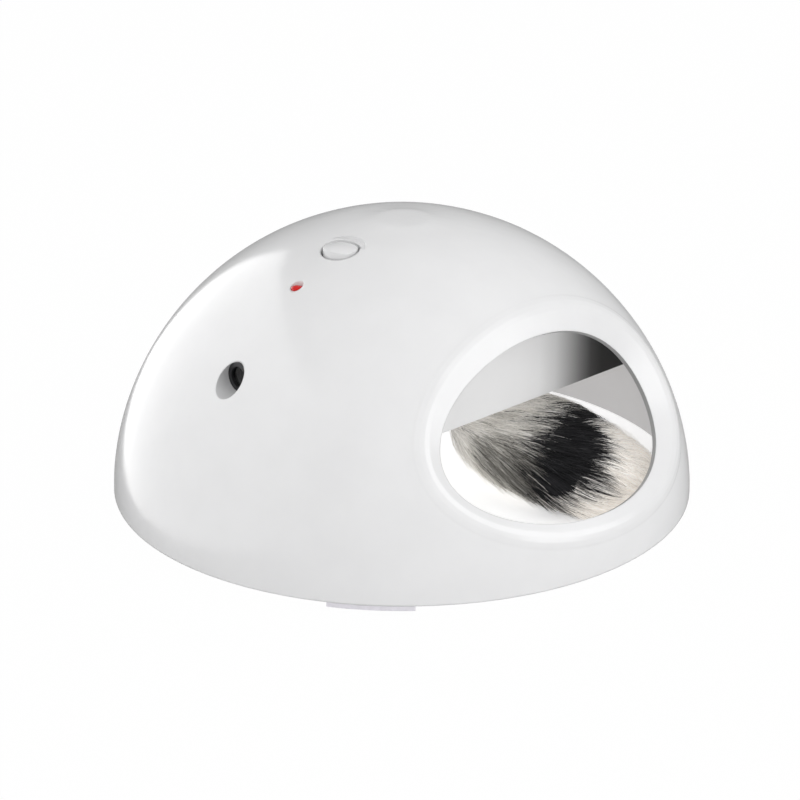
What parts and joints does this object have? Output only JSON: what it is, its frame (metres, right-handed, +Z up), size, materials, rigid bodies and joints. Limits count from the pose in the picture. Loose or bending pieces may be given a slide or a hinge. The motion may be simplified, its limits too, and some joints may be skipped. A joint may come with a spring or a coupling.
{
  "type": "automatic cat laser toy",
  "caption": "Glossy white dome on low feet with a moving laser in one side and a fur tail that sweeps round inside an oval opening.",
  "frame": {"origin": "on the table, under the centre of the dome", "axes": "+Z up, -Y out of the oval opening, -X out of the laser bore"},
  "size_m": [0.25, 0.25, 0.123],
  "materials": {
    "white_shell": "glossy white",
    "white_inner": "satin white",
    "foot_pad": "soft grey",
    "gear_plastic": "natural acetal",
    "steel": "bright steel",
    "bronze": "sintered bronze",
    "plating": "nickel plated",
    "black_plastic": "black",
    "copper_core": "laminated core",
    "board": "green mask",
    "clear": "clear",
    "red_lens": "red, clear",
    "cell_sleeve": "plain grey sleeve",
    "fur": "long pile fur"
  },
  "bodies": {
    "base": {"dome_shell": "white_shell", "door_hinge_pin": "steel", "foot_front_right": "foot_pad", "foot_front_left": "foot_pad", "foot_rear_right": "foot_pad", "foot_rear_left": "foot_pad", "base_plate": "white_inner", "base_screws": "steel", "inner_deck": "white_inner", "deck_screws": "steel", "idler_axle_lower": "steel", "idler_axle_upper": "steel", "shaft_bush_lower": "bronze", "shaft_bush_upper": "bronze", "gearbox_cover": "white_inner", "cover_screws": "steel", "motor_can": "steel", "motor_cap": "black_plastic", "laser_sleeve": "black_plastic", "laser_window": "clear", "laser_stand": "white_inner", "laser_pivot_pin": "steel", "laser_motor": "steel", "stand_screws": "steel", "circuit_board": "board", "board_screws": "steel", "control_chip": "black_plastic", "power_switch": "black_plastic", "status_light": "red_lens", "light_spacer": "white_inner", "light_leads": "plating", "battery_tray": "white_inner", "tray_screws": "steel", "battery_1": "cell_sleeve", "battery_2": "cell_sleeve", "battery_3": "cell_sleeve", "contact_plates": "plating", "contact_springs": "plating"},
    "tail": {"output_shaft": "steel", "output_gear": "gear_plastic", "retaining_ring": "steel", "tail_arm": "white_inner", "arm_screw": "steel", "tail_core": "steel", "fur_tail": "fur"},
    "lower_idler": {"idler_gear_lower": "gear_plastic"},
    "upper_idler": {"idler_gear_upper": "gear_plastic"},
    "motor_spindle": {"motor_rotor": "copper_core", "motor_shaft": "steel", "motor_pinion": "gear_plastic"},
    "laser_head": {"laser_carriage": "white_inner", "laser_barrel": "bronze", "laser_lens": "clear", "laser_diode": "plating", "laser_clamp": "white_inner"},
    "laser_drive": {"laser_pinion": "gear_plastic"},
    "button": {"power_button": "white_shell", "switch_plunger": "black_plastic"},
    "door": {"battery_door": "white_shell"}
  },
  "joints": [
    {"name": "tail_spin", "type": "hinge", "parent": "base", "child": "tail", "pos_m": [0, 0, 0.03], "axis": [0, 0, 1], "continuous": true},
    {"name": "lower_idler_spin", "type": "hinge", "parent": "base", "child": "lower_idler", "pos_m": [0.02415, 0, 0.05], "axis": [0, 0, 1], "continuous": true},
    {"name": "upper_idler_spin", "type": "hinge", "parent": "base", "child": "upper_idler", "pos_m": [0.02415, 0.01935, 0.055], "axis": [0, 0, 1], "continuous": true},
    {"name": "motor_spin", "type": "hinge", "parent": "base", "child": "motor_spindle", "pos_m": [0.0048, 0.01935, 0.07], "axis": [0, 0, 1], "continuous": true},
    {"name": "laser_pan", "type": "hinge", "parent": "base", "child": "laser_head", "pos_m": [-0.076, 0, 0.066], "axis": [0, 0, 1], "range_deg": [-8, 8]},
    {"name": "laser_drive_spin", "type": "hinge", "parent": "base", "child": "laser_drive", "pos_m": [-0.05665, 0, 0.065], "axis": [0, 0, 1], "range_deg": [-24, 24]},
    {"name": "button_press", "type": "slide", "parent": "base", "child": "button", "axis": [0, 0, -1], "range_m": [0, 0.0012], "stiffness_N_per_m": 400, "springref_m": -0.0008},
    {"name": "battery_door_hinge", "type": "hinge", "parent": "base", "child": "door", "pos_m": [0, 0.11443, 0.049], "axis": [-1, 0, 0], "range_deg": [0, 85]}
  ],
  "couplings": [
    {"joint": "lower_idler_spin", "follows": "tail_spin", "ratio": -4},
    {"joint": "upper_idler_spin", "follows": "tail_spin", "ratio": 12},
    {"joint": "motor_spin", "follows": "tail_spin", "ratio": -36},
    {"joint": "laser_drive_spin", "follows": "laser_pan", "ratio": -3}
  ]
}
